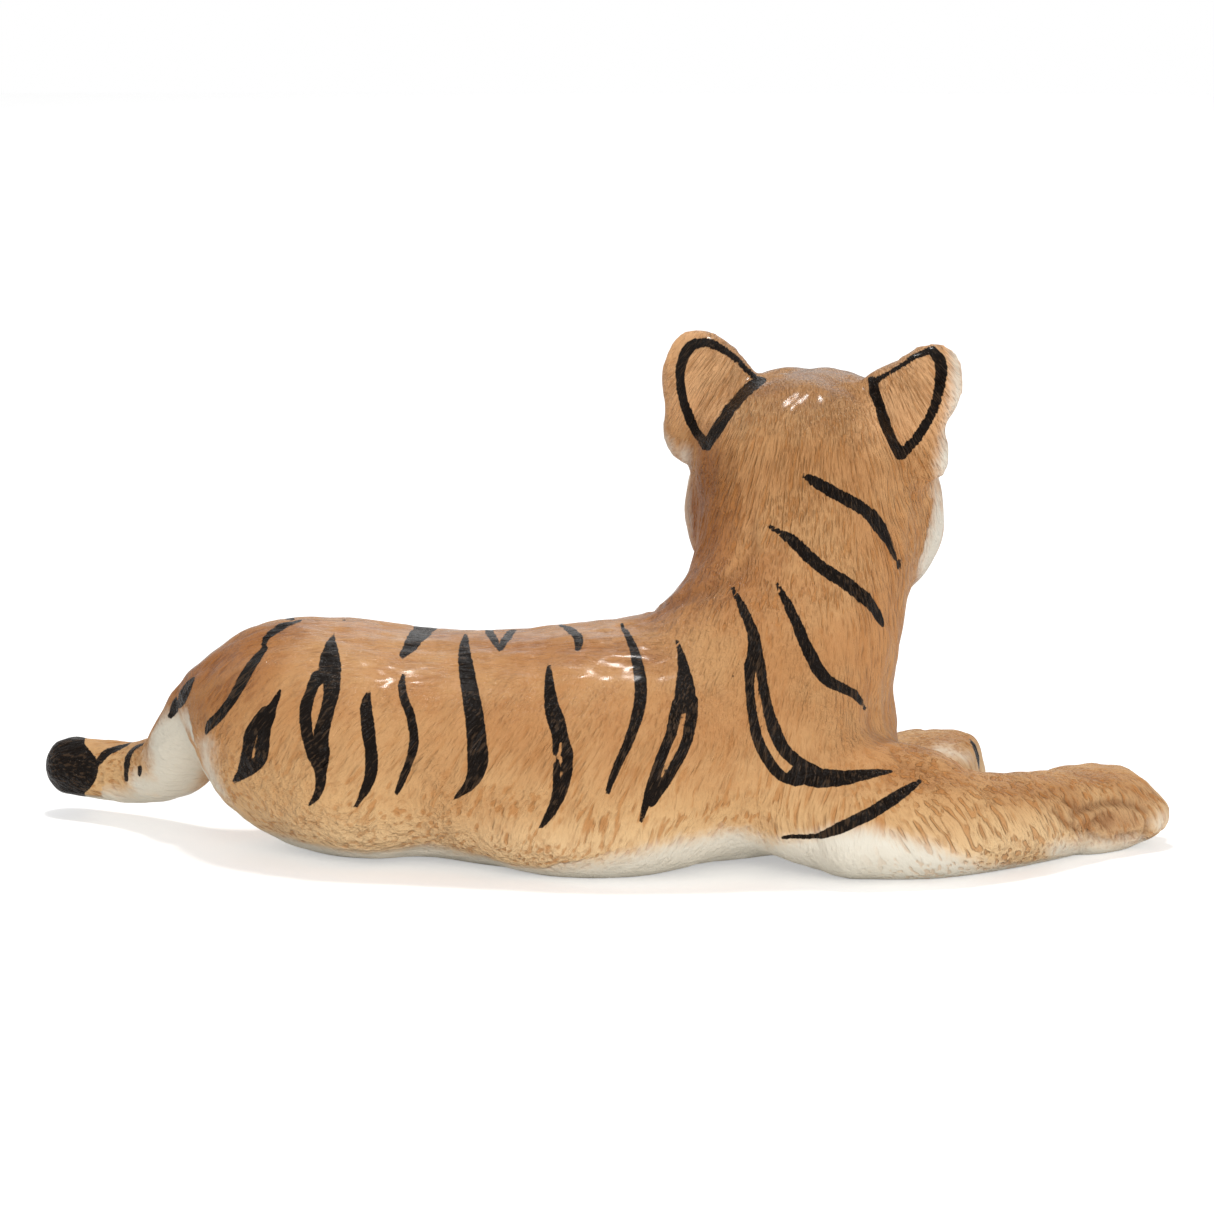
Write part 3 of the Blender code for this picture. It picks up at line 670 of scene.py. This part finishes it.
def latticeNoise(places, grain, seed):
    # A random number at each corner of a cubic lattice, blended smoothly inside each cell.
    at = places / grain
    corner = np.floor(at).astype(np.int64)
    t = at - corner
    t = t * t * (3 - 2 * t)
    total = np.zeros(len(places))
    for dx in (0, 1):
        for dy in (0, 1):
            for dz in (0, 1):
                x, y, z = corner[:, 0] + dx, corner[:, 1] + dy, corner[:, 2] + dz
                mixed = (x * 73856093) ^ (y * 19349663) ^ (z * 83492791) ^ (seed * 2654435761)
                mixed = ((mixed ^ (mixed >> 13)) * 1274126177) & 0x7FFFFFFF
                value = (mixed ^ (mixed >> 15)) % 65536 / 32767.5 - 1
                share = (t[:, 0] if dx else 1 - t[:, 0]) * (t[:, 1] if dy else 1 - t[:, 1])
                total += value * share * (t[:, 2] if dz else 1 - t[:, 2])
    return total


def combed(places, flow, length, grain, seed):
    # Lattice noise averaged along the fur's direction over its length, with soft ends, which
    # leaves streaks as long as that and as wide as the grain. Spread to about -1 .. 1.
    steps = np.linspace(-0.5, 0.5, 13)
    weights = np.cos(steps * math.pi) ** 2
    total = sum(w * latticeNoise(places + flow * (s * length), grain, seed) for s, w in zip(steps, weights))
    total /= weights.sum()
    return np.clip(total / (2.2 * total.std()), -1, 1)


def fanned(centre):
    # Along: distance from the fan's centre. Across: the angle round it times the skin's usual distance.
    reach = points[:, [0, 2]] - centre
    along = np.linalg.norm(reach, axis=1)
    across = np.arctan2(reach[:, 0], -reach[:, 1]) * np.median(along)
    zero = np.zeros(len(points))
    return np.stack([along, across, points[:, 1]], 1), np.stack([reach[:, 0], zero, reach[:, 1]], 1)


def straight(way):
    # The points in axes of which the first runs along the fur.
    way = unit(np.array(way))
    second = unit(np.cross((0.3, 1, 0.2), way))
    return points @ np.stack([way, second, np.cross(way, second)], 1), np.repeat(way[None], len(points), 0)


def risen(distance, name):
    # 0 to 1 between the two marks of that name.
    return smoothRise(distance, *furShape[name])


x, y, z = points.T
isHead = risen(z, "headUp") * risen(x, "headAhead")
isForearm = risen(x, "forearmAhead") * (1 - risen(z, "forearmUp"))
isTail = 1 - risen(x, "tailAhead")
grooved = isForearm * (1 - 0.85 * risen(x, "pawAhead")) * (1 - 0.8 * risen(y, "leftLeg"))
isSpine = np.maximum(risen(normals[:, 2], "spineFacing") * (1 - isHead) * (1 - isForearm), isTail)
gloss = risen(normals[:, 2], "glossFacing") * risen(z, "glossUp")      # varnish on the back and skull
isFlank = np.clip(1 - isHead - isForearm - isSpine, 0, 1)
regions = {"flank": (isFlank, *fanned(furShape["flankFan"])),
           "nape": (isHead, *fanned(furShape["napeFan"])),
           "spine": (isSpine, *straight(furShape["spine"])),
           "forearm": (isForearm, *straight(furShape["forearm"]))}
flow = sum(share[:, None] * unit(way) for share, comb, way in regions.values())
flow = unit(flow - (flow * normals).sum(1)[:, None] * normals)
fur = combed(points, flow, furShape["length"], furShape["grain"], 3)
lumps = combed(points, flow, furShape["lumpLength"], furShape["lumpGrain"], 8)
waver = furShape["waver"] * latticeNoise(points, furShape["waverGrain"], 5)
onGround = smoothRise(z, 0.0, 1.2)
calm = 1 - 0.6 * smoothRise(cream, -0.2, 0.6)
furDepth = furShape["depth"] + (furShape["forearmDepth"] - furShape["depth"]) * isForearm
lift = (furDepth * fur + furShape["lumpDepth"] * lumps) * onGround * calm
fold = np.zeros(len(points))
for deep, folds in foldShape:
    pressed = smoothRise(paintDepth(folds), -0.3, 0.14)
    fold = np.maximum(fold, pressed * deep / foldShape[0][0])
    lift -= deep * pressed


def inOval(across, upward, halves):
    # What is left of 1 after the distance from the middle in half widths and half heights.
    return 1 - np.hypot(across / halves[0], upward / halves[1])


farOutside = -3.0
inHead = placed(points, headPlace.inverted())
right, forward, up = np.abs(inHead[:, 0]), inHead[:, 1], inHead[:, 2]
onFace = smoothRise(forward, *faceShape["ahead"]) * smoothRise(z, *faceShape["up"])
eyeAcross = right - faceShape["eye"][0]
eyeUpward = up - faceShape["eye"][1] - faceShape["eyeSlant"] * eyeAcross
eyeRim = inOval(eyeAcross, eyeUpward, faceShape["eyeRim"]) * faceShape["eyeRim"][1]
eyeOpen = inOval(eyeAcross, eyeUpward + faceShape["eyeDrop"], faceShape["eyeOpen"])
eyeOpen *= faceShape["eyeOpen"][1]
half, widest, narrowing, top, bottom, front = faceShape["nose"]
noseDepth = np.minimum(half - right - narrowing * np.abs(up - widest), np.minimum(up - bottom, top - up))
noseDepth = np.where(forward > front, noseDepth, farOutside)
halves = np.array((earShape["innerWidth"], earShape["halfHeight"])) * faceShape["earInside"]
earFront = np.maximum(*[inOval(*placed(points, earPlace(side).inverted())[:, [0, 2]].T, halves)
                        for side in (1, -1)])
facing = normals @ headAxes[:, 1]
ears = smoothRise(right, *faceShape["earAcross"]) * smoothRise(up, *faceShape["earUp"])
earFront = np.where((facing > 0.1) & (up > 1.5) & (right > 3.5), earFront, -1.0)
# the inner corner of each eye, and the line from the nose to the mouth
lift -= 0.35 * np.exp(-((right - 2.35) / 0.7) ** 2 - ((up - 0.3) / 0.9) ** 2) * onFace
lipLine = np.exp(-(right / 0.35) ** 2) * smoothRise(-up, 2.6, 3.2) * (1 - smoothRise(-up, 5.2, 5.8))
lift -= 0.22 * lipLine * onFace
lift *= 1 - 0.8 * (np.maximum(eyeRim, noseDepth) > 0)

points = points + normals * lift[:, None]
points[:, 2] = np.maximum(points[:, 2], 0)         # what lies below the ground is pressed flat on it
under = smoothRise(-normals[:, 2], 0.7, 0.95)
cream = np.maximum(cream, 2.4 * under - 1.2)
print("fur combed")


def giveField(name, values):
    # The values as an attribute of the skin's points.
    kind, key = ("FLOAT", "value") if values.ndim == 1 else ("FLOAT_VECTOR", "vector")
    skin.attributes.new(name, kind, "POINT").data.foreach_set(key, values.astype(np.float32).ravel())


skin.vertices.foreach_set("co", ((points - middle) * mm).astype(np.float32).ravel())
skin.polygons.foreach_set("use_smooth", np.ones(len(skin.polygons), bool))
skin.name = "cubSkin"
for name, (share, comb, way) in regions.items():
    giveField(name + "Share", share)
    giveField(name + "Comb", comb + np.stack([0 * waver, waver, 0.6 * waver], 1))
fields = {"black": black, "cream": cream, "washAndShade": washAndShade, "tufts": tufts, "fold": fold, "fur": fur,
          "gloss": gloss, "grooved": grooved, "ears": ears, "nose": noseDepth, "earFront": earFront,
          "eyeRim": np.where(onFace > 0.5, eyeRim, farOutside),
          "eyeOpen": np.where(onFace > 0.5, eyeOpen, farOutside)}
for name, values in fields.items():
    giveField(name, values)
skin.update()
cub = bpy.data.objects.new("paintedCub", skin)
bpy.context.scene.collection.objects.link(cub)
print("cub built:", len(skin.polygons), "faces")


class Value:
    # A socket that takes part in sums, each of which adds a Math node.
    def __init__(self, paint, socket):
        self.paint, self.socket = paint, socket

    def math(self, operation, first, second):
        return self.paint.node("ShaderNodeMath", {"operation": operation}, {0: first, 1: second})

    def __add__(self, other): return self.math("ADD", self, other)
    def __radd__(self, other): return self if other == 0 else self.math("ADD", other, self)
    def __sub__(self, other): return self.math("SUBTRACT", self, other)
    def __rsub__(self, other): return self.math("SUBTRACT", other, self)
    def __mul__(self, other): return self.math("MULTIPLY", self, other)
    def __rmul__(self, other): return self.math("MULTIPLY", other, self)
    def least(self, other): return self.math("MINIMUM", self, other)
    def most(self, other): return self.math("MAXIMUM", self, other)

    def rise(self, low, high):
        # 0 below low and 1 above high, smoothly.
        return self.paint.node("ShaderNodeMapRange", {"interpolation_type": "SMOOTHSTEP"},
                               {"Value": self, "From Min": low, "From Max": high})


class Paint:
    # The nodes of a material or of the world, and the one that they end in.
    def __init__(self, owner, last):
        owner.use_nodes = True
        self.tree = owner.node_tree
        self.last = self.tree.nodes[last]

    def fill(self, node, inputs):
        for key, given in inputs.items():
            if isinstance(given, Value):
                self.tree.links.new(given.socket, node.inputs[key])
            else:
                node.inputs[key].default_value = given

    def node(self, kind, settings=None, inputs=None, output=0):
        made = self.tree.nodes.new(kind)
        for key, setting in (settings or {}).items():
            setattr(made, key, setting)
        self.fill(made, inputs or {})
        return Value(self, made.outputs[output])

    def field(self, name, output="Fac"):
        return self.node("ShaderNodeAttribute", {"attribute_name": name}, output=output)

    def mix(self, share, first, second):
        return self.node("ShaderNodeMix", {"data_type": "RGBA"}, {0: share, 6: first, 7: second}, output=2)

    def combedNoise(self, length, width, detail):
        # Each region's noise, drawn out along its fur, in millimetres, times the region's share.
        scale = (1 / length, 1 / width, 1 / width)
        total = 0
        for name in regions:
            comb = self.field(name + "Comb", "Vector")
            where = self.node("ShaderNodeMapping", None, {"Vector": comb, "Scale": scale})
            noise = self.node("ShaderNodeTexNoise", None, {
                "Vector": where, "Scale": 1.0, "Detail": detail})
            total = total + noise * self.field(name + "Share")
        return total

    def noise(self, size, detail, roughness, distortion=0.0):
        # Noise on Object coordinates, its size in millimetres along each axis.
        where = self.node("ShaderNodeTexCoord", output="Object")
        where = self.node("ShaderNodeMapping", {"vector_type": "TEXTURE"},
                          {"Vector": where, "Scale": [side * mm for side in size]})
        return self.node("ShaderNodeTexNoise", None, {
            "Vector": where, "Scale": 1.0, "Detail": detail,
            "Roughness": roughness, "Distortion": distortion})


def fromScreen(red, green, blue):
    # A screen colour of 0 .. 255 as the linear colour that a shader takes.
    share = np.array([red, green, blue]) / 255
    linear = np.where(share <= 0.04045, share / 12.92, ((share + 0.055) / 1.055) ** 2.4)
    return (*linear.tolist(), 1.0)


coatLook = {
    # colours as seen on a screen, 0 .. 255
    "colours": {
        "tan": (197, 142, 91), "yellowTan": (226, 184, 131), "paleTan": (238, 184, 132),
        "bounceLitTan": (246, 216, 171), "brown": (154, 90, 38), "deepBrown": (110, 58, 22),
        "rust": (184, 116, 52), "cream": (238, 232, 217), "greyAndShadedCream": (228, 220, 202),
        "black": (21, 13, 7), "dryBrushAndSheenBlack": (88, 68, 50), "amber": (176, 120, 40),
        "pupil": (12, 10, 9), "nosePink": (158, 98, 84), "earPale": (226, 206, 176)},
    "roughness": 0.42, "varnishRoughness": 0.16, "wetRoughness": 0.12, "specular": 0.12,
    "coat": 0.4, "coatRoughness": 0.16,
    # the length and width in millimetres of hairs, of creases and of dashes of brown in the grooves
    "hair": (1.2, 0.2), "crease": (1.5, 0.42), "dash": (2.8, 0.4),
    # the size in millimetres along x, y and z
    "tuft": (0.5, 0.5, 0.42), "grain": (0.22, 0.22, 0.22), "patch": (3.0, 3.0, 3.0),
    "blotch": (7.0, 5.0, 5.0),
    "hairDepth": 0.15, "creaseDepth": 0.8, "tuftDepth": 0.18, "dashDepth": 0.1, "stainDepth": 0.1,
    "grainDepth": 0.05, "paintDepth": 0.02,
    # in millimetres: heights between which yellow and the painted bounce light turn to tan, and distances
    # behind the middle between which the painted bounce light ends and painted shade greys the cream
    "yellowUp": (1.0, 12.0), "bounceLitUp": (0.5, 6.0), "tailTan": (27.0, 31.0), "tailShade": (20.0, 28.0),
    "blackEdge": 0.035, "eyeEdge": 0.05, "noseEdge": 0.06,      # half the width of each soft edge
}


def cubPaint():
    look = coatLook
    colour = {name: fromScreen(*shade) for name, shade in look["colours"].items()}
    material = bpy.data.materials.new("paintedCoat")
    paint = Paint(material, "Principled BSDF")
    place = paint.node("ShaderNodeTexCoord", output="Object")

    def over(distance, name):
        # 0 to 1 between the two marks of that name.
        return distance.rise(*[mark * mm for mark in look[name]])

    def edged(value, name):
        # 0 outside and 1 inside, over the soft edge of that name.
        return value.rise(-look[name], look[name])

    def spots(name):
        # 1 inside a ball in either eye, by the distance from its middle.
        right, forward, up, shift, radius = faceShape[name]
        inside = []
        for side in (1, -1):
            centre = headPlace @ Vector((side * right + shift, forward, up))
            gap = paint.node("ShaderNodeVectorMath", {"operation": "DISTANCE"},
                             {0: place, 1: [(p - m) * mm for p, m in zip(centre, middle)]}, output="Value")
            inside.append(1 - gap.rise((radius - look["noseEdge"]) * mm, radius * mm))
        return inside[0].most(inside[1])

    hair = paint.combedNoise(*look["hair"], 2.0)
    crease = paint.combedNoise(*look["crease"], 3.0)
    dash = paint.combedNoise(*look["dash"], 1.0)
    grain = paint.noise(look["grain"], 3.0, 0.6)
    blotch = paint.noise(look["blotch"], 3.0, 0.6)
    patch = paint.noise(look["patch"], 2.0, 0.6)
    tuft = paint.noise(look["tuft"], 2.0, 0.5, 1.2)
    low = paint.node("ShaderNodeSeparateXYZ", None, {0: place}, output="Z")
    towardsTail = 0 - paint.node("ShaderNodeSeparateXYZ", None, {0: place}, output="X")
    fur, nape, grooved = paint.field("fur"), paint.field("napeShare"), paint.field("grooved")
    rough = (paint.field("tufts") + (blotch - 0.5) * 2.0).rise(-1.0, 1.2)
    relief = (hair - 0.5) * 2.0 + (crease - 0.5) * 2.4 + fur * 0.25 + (tuft - 0.5) * rough * 2.0

    # coat: orange on top and on the neck, yellower towards the ground (partly its own paler flank, partly
    # painted bounce light), palest right by the ground as painted bounce light, browner in the furrows
    lowness = (1 - over(low, "yellowUp")) * (1 - nape)
    yellowAndBounceLight = (blotch.rise(0.36, 0.66) * 0.3 + lowness * 0.85).least(1.0)
    coat = paint.mix(yellowAndBounceLight, colour["tan"], colour["yellowTan"])
    # painted bounce light: a pale tan that lightens the shade close to the ground, ending towards the tail
    paintedBounceLight = (1 - over(low, "bounceLitUp")) * (1 - over(towardsTail, "tailTan"))
    coat = paint.mix(paintedBounceLight * 0.7, coat, colour["bounceLitTan"])
    coat = paint.mix(nape * 0.05 + paint.field("ears") * 0.8, coat, colour["paleTan"])
    # brown wash, partly painted shade on the left of the neck and along the top of the back
    washAndShade = (paint.field("washAndShade") + (blotch - 0.5) * 1.2).rise(-1.6, 2.6)
    coat = paint.mix(washAndShade * 0.75, coat, colour["brown"])
    furrow = (0.05 + (patch - 0.5) * 0.8 - relief).rise(0.0, 0.6)
    coat = paint.mix(furrow * (0.22 - rough * 0.1 + nape * 0.1), coat, colour["brown"])
    coat = paint.mix(furrow * washAndShade * 0.4, coat, colour["deepBrown"])

    # rust in the dashes, most of all low down and in the forearm's grooves
    stained = (0.14 + lowness * 0.6 * (1 - rough * 0.6) + nape * 0.3).least(0.55)
    stain = (dash + (patch - 0.5) * 0.4).rise(0.52, 0.66) * stained
    groove = (dash + (patch - 0.5) * 0.16).rise(0.49, 0.62)
    coat = paint.mix(stain + (groove * 0.5 - stain) * grooved, coat, colour["rust"])
    coat = paint.mix(paint.field("fold") * 0.45, coat, colour["deepBrown"])

    # cream underside, softly blended in
    creamy = (paint.field("cream") + relief * 0.3 + (patch - 0.5) * 0.9).rise(-0.9, 0.8)
    # grey patches in the cream's own tone, and painted shade that greys the cream towards the tail's base
    greyAndShade = (patch.rise(0.35, 0.7) * 0.5 + over(towardsTail, "tailShade")).least(1.0)
    pale = paint.mix(greyAndShade, colour["cream"], colour["greyAndShadedCream"])
    coat = paint.mix(creamy * (1 - groove * grooved * 0.4), coat, pale)

    # inside of the ears, nose, black strokes and eyes
    inEar = (paint.field("earFront") + (hair - 0.5) * 0.5).rise(0.0, 0.5)
    coat = paint.mix(inEar * 0.8, coat, colour["earPale"])
    nose = edged(paint.field("nose"), "noseEdge")
    coat = paint.mix(nose, coat, colour["nosePink"])
    ragged = (crease - 0.5) * (nape * 0.14 + 0.18) + (grain - 0.5) * 0.1
    strokes = edged(paint.field("black") + ragged, "blackEdge")
    strokes = strokes.most(edged(paint.field("eyeRim"), "eyeEdge"))
    # lighter streaks in the black: partly dry brush, partly painted sheen where the relief would catch the
    # light
    dryBrushAndSheen = (hair + (patch - 0.5) * 0.4).rise(0.52, 0.66)
    coat = paint.mix(strokes, coat, paint.mix(dryBrushAndSheen * 0.5, colour["black"], colour["dryBrushAndSheenBlack"]))
    eye = edged(paint.field("eyeOpen"), "eyeEdge")
    coat = paint.mix(eye, coat, colour["amber"])
    coat = paint.mix(eye * spots("pupil"), coat, colour["pupil"])
    # a painted highlight: a cream dot in each eye
    coat = paint.mix(eye * spots("paintedHighlight"), coat, colour["cream"])

    # varnish, thinner on black, and wet eyes and nose
    wet = eye.most(nose)
    varnish = paint.field("gloss") * patch.rise(0.3, 0.55) * (1 - strokes * 0.5)
    smoother = look["varnishRoughness"] - look["roughness"]
    dull = look["roughness"] + smoother * varnish.most(strokes * 0.6) + (grain - 0.5) * 0.1

    # relief, less of it under the cream and none on the eyes and nose
    bare = 1 - wet.most(creamy * 0.6)
    creased = rough * 0.25 + patch.rise(0.3, 0.7) * 0.4 + 0.25
    height = hair * look["hairDepth"] + crease * look["creaseDepth"] * creased
    height = height - groove * (grooved + nape * 0.6) * look["dashDepth"] - stain * look["stainDepth"]
    height = height + tuft * rough * look["tuftDepth"] + grain * look["grainDepth"]
    height = height * bare + strokes * look["paintDepth"]
    bump = paint.node("ShaderNodeBump", None, {"Strength": 1.0, "Distance": mm, "Height": height})
    paint.fill(paint.last, {
        "Base Color": coat, "Roughness": dull + (look["wetRoughness"] - dull) * wet,
        "Specular IOR Level": look["specular"], "Coat Weight": varnish.most(wet) * look["coat"],
        "Coat Roughness": look["coatRoughness"], "Normal": bump})
    return material


skin.materials.clear()
skin.materials.append(cubPaint())
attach(cub, "root")
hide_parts("tiger_figurine")
print("coat painted")

studio = {
    "floorColour": (0.88, 0.88, 0.88), "floorGlow": 0.4, "worldLight": 0.52,
    # where each lamp stands in millimetres, its size, how brightly it alone would show white paint
    # that faces it, and its colour
    "lamps": [((-20, 50, 438), 66, 0.38, (1.0, 0.985, 0.97)),
              ((120, -430, 85), 260, 0.45, (1.0, 0.99, 0.98)),
              ((60, 420, 260), 300, 0.08, (0.98, 0.99, 1.0))],
    "lampAim": (0, 0, 12),
    "floorReach": 500,      # the floor ends while it is still white, and the white world goes on
}


def buildStudio():
    # A white floor that glows a little for the camera alone, so that it is white where no shadow falls.
    mesh = bpy.data.meshes.new("floor")
    reach = studio["floorReach"] * mm
    corners = [(-reach, -reach, 0), (reach, -reach, 0), (reach, reach, 0), (-reach, reach, 0)]
    mesh.from_pydata(corners, [], [(0, 1, 2, 3)])
    floor = bpy.data.objects.new("floor", mesh)
    bpy.context.scene.collection.objects.link(floor)
    material = bpy.data.materials.new("floorWhite")
    paint = Paint(material, "Principled BSDF")
    seen = paint.node("ShaderNodeLightPath", output="Is Camera Ray")
    glow = paint.mix(seen, (0, 0, 0, 1), (*[studio["floorGlow"]] * 3, 1))
    paint.fill(paint.last, {"Base Color": (*studio["floorColour"], 1), "Roughness": 0.9,
                            "Specular IOR Level": 0.1, "Emission Color": glow, "Emission Strength": 1})
    mesh.materials.append(material)

    # the world is white where it is seen, and gives its own share of light elsewhere
    world = bpy.data.worlds.new("studio")
    bpy.context.scene.world = world
    sky = Paint(world, "Background")
    seen = sky.node("ShaderNodeLightPath", output="Is Camera Ray").most(
        sky.node("ShaderNodeLightPath", output="Is Transmission Ray"))
    strength = sky.node("ShaderNodeMapRange", None, {"Value": seen, "To Min": studio["worldLight"]})
    sky.fill(sky.last, {"Color": (1, 1, 1, 1), "Strength": strength})

    for place, size, level, colour in studio["lamps"]:
        data = bpy.data.lights.new("softbox", "AREA")
        data.shape = "DISK"
        data.size = size * mm
        data.energy = level * (math.pi * Vector(place).length * mm) ** 2
        data.color = colour
        lamp = bpy.data.objects.new("softbox", data)
        lamp.location = Vector(place) * mm
        aim = Vector(studio["lampAim"]) - Vector(place)
        lamp.rotation_euler = aim.to_track_quat("-Z", "Y").to_euler()
        bpy.context.scene.collection.objects.link(lamp)


def buildCamera():
    # The photograph's place and angle, with its own width in the frame.
    data = bpy.data.cameras.new("camera")
    data.sensor_width = sensorWidth = 36
    data.lens = sensorWidth * view["distance"] * view["pixelsPerMm"] / view["pixels"]
    data.clip_start, data.clip_end = 0.01, 20
    camera = bpy.data.objects.new("camera", data)
    camera.location = Vector((eyePlace - middle) * mm)
    camera.rotation_euler = (math.radians(90 - view["elevation"]), 0, 0)
    bpy.context.scene.collection.objects.link(camera)
    bpy.context.scene.camera = camera


buildStudio()
buildCamera()
bpy.context.scene.view_settings.view_transform = "Standard"
print("studio set")
